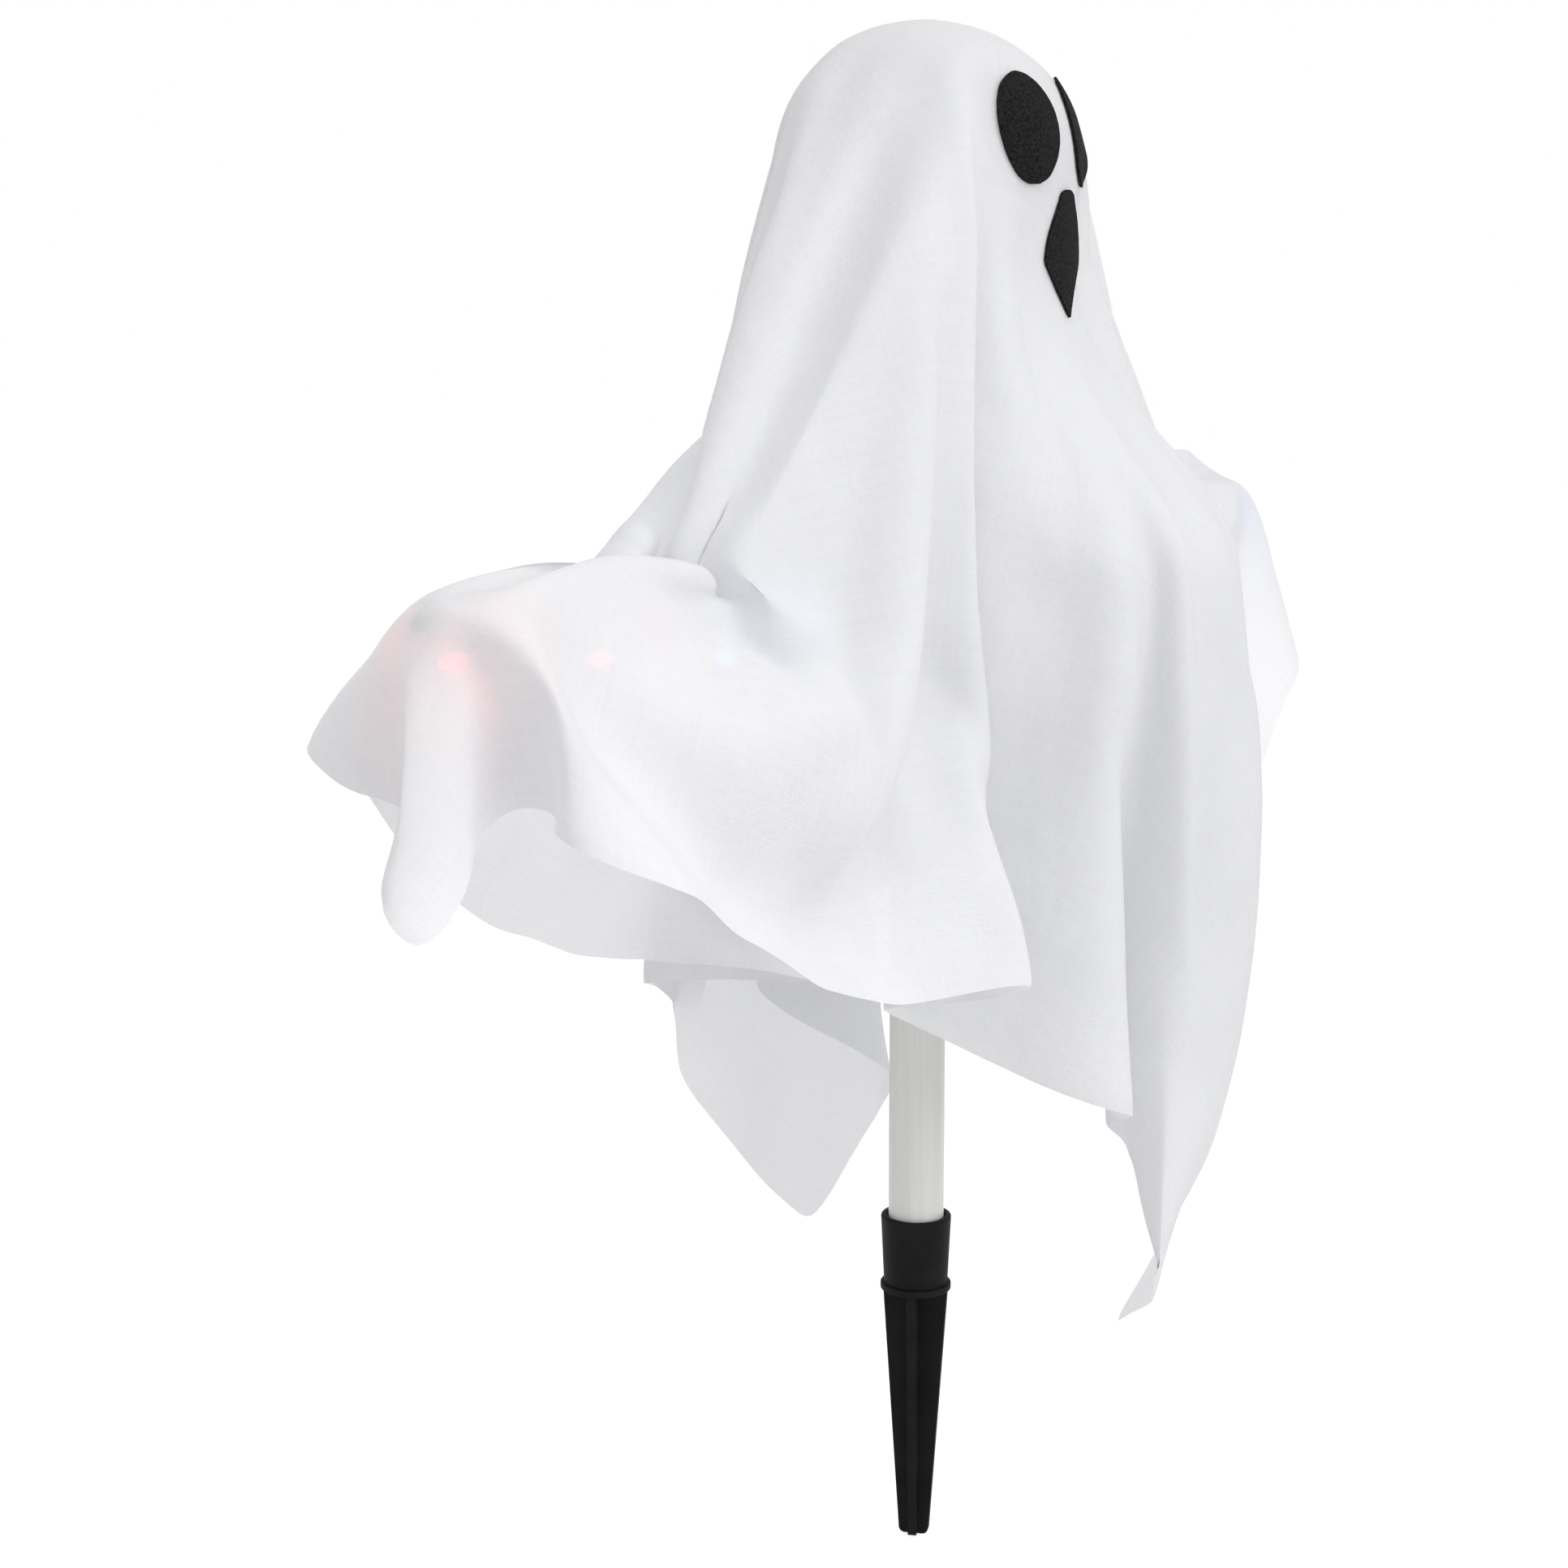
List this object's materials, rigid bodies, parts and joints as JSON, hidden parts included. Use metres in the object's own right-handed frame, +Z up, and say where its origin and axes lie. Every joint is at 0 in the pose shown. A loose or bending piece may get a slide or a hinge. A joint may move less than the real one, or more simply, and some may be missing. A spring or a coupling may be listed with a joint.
{
  "type": "lighted ghost lawn stake",
  "caption": "Ghost decoration: a sheer sheet with a felt face hangs over a ball head and two posable lighted arms, on a pole in a push-in ground stake.",
  "frame": {"origin": "on the stake's axis at the ground line, under the collar's lip", "axes": "+Z up along the pole, -Y the way the ghost faces, +X toward its left hand"},
  "size_m": [0.6988, 0.236, 0.5994],
  "materials": {
    "black_pp": "fine moulded grain",
    "white_pvc": "satin extruded",
    "white_plastic": "moulded",
    "foam": "beaded foam",
    "steel": "zinc plated",
    "soft_vinyl": "soft matt",
    "wire_jacket": "clear white jacket",
    "holder_white": "moulded",
    "led_blue": "clear lens, lit",
    "led_pink": "clear lens, lit",
    "led_red": "clear lens, lit",
    "led_green": "clear lens, lit",
    "led_amber": "clear lens, lit",
    "led_teal": "clear lens, lit",
    "case_black": "fine moulded grain",
    "cell_wrap": "printed sleeve, plain",
    "board_green": "solder mask",
    "switch_grey": "moulded",
    "rubber_black": "matt",
    "voile": "sheer plain weave",
    "felt": "fuzzy"
  },
  "bodies": {
    "stake": {"ground_stake": "black_pp"},
    "pole": {"lower_pole": "white_pvc", "pole_coupler": "white_plastic"},
    "ghost": {"upper_pole": "white_pvc", "neck_sleeve": "white_plastic", "head_ball": "foam", "shoulder_hub": "white_plastic", "hub_screw": "steel", "pivot_screws": "steel", "pivot_nuts": "steel", "battery_case": "case_black", "cell_1": "cell_wrap", "cell_2": "cell_wrap", "cell_3": "cell_wrap", "contact_plates": "steel", "contact_leaves": "steel", "control_board": "board_green", "switch_body": "case_black", "wire_grommet": "rubber_black", "feed_wire": "wire_jacket", "pole_light_wire": "wire_jacket", "light_junction": "holder_white", "pole_led_holders": "holder_white", "pole_led_1": "led_teal", "pole_led_2": "led_amber", "pole_ties": "holder_white", "right_shoulder_lead": "wire_jacket", "left_shoulder_lead": "wire_jacket", "shroud": "voile", "right_eye": "felt", "left_eye": "felt", "mouth": "felt"},
    "lid": {"battery_lid": "case_black"},
    "switch": {"switch_slider": "switch_grey"},
    "right_arm": {"right_knuckle": "white_plastic", "right_arm_tube": "soft_vinyl", "right_arm_core": "steel", "right_hand_cap": "white_plastic", "right_light_wire": "wire_jacket", "right_led_holders": "holder_white", "right_led_1": "led_blue", "right_led_2": "led_pink", "right_led_3": "led_red", "right_ties": "holder_white"},
    "left_arm": {"left_knuckle": "white_plastic", "left_arm_tube": "soft_vinyl", "left_arm_core": "steel", "left_hand_cap": "white_plastic", "left_light_wire": "wire_jacket", "left_led_holders": "holder_white", "left_led_1": "led_green", "left_led_2": "led_amber", "left_led_3": "led_blue", "left_ties": "holder_white"}
  },
  "joints": [
    {"name": "pole_pull", "type": "slide", "parent": "stake", "child": "pole", "axis": [0, 0, 1], "range_m": [0, 0.03]},
    {"name": "ghost_turn", "type": "hinge", "parent": "pole", "child": "ghost", "pos_m": [0, 0, 0.152], "axis": [0, 0, 1], "continuous": true},
    {"name": "right_arm_raise", "type": "hinge", "parent": "ghost", "child": "right_arm", "pos_m": [-0.02705, 0, 0.266], "axis": [0, 1, 0], "range_deg": [-30, 20], "deforming": ["shroud", "right_shoulder_lead"]},
    {"name": "left_arm_raise", "type": "hinge", "parent": "ghost", "child": "left_arm", "pos_m": [0.02705, 0, 0.266], "axis": [0, -1, 0], "range_deg": [-30, 20], "deforming": ["shroud", "left_shoulder_lead"]},
    {"name": "lid_slide", "type": "slide", "parent": "ghost", "child": "lid", "axis": [0, 0, 1], "range_m": [0, 0.07]},
    {"name": "switch_slide", "type": "slide", "parent": "ghost", "child": "switch", "axis": [-1, 0, 0], "range_m": [0, 0.003]}
  ]
}
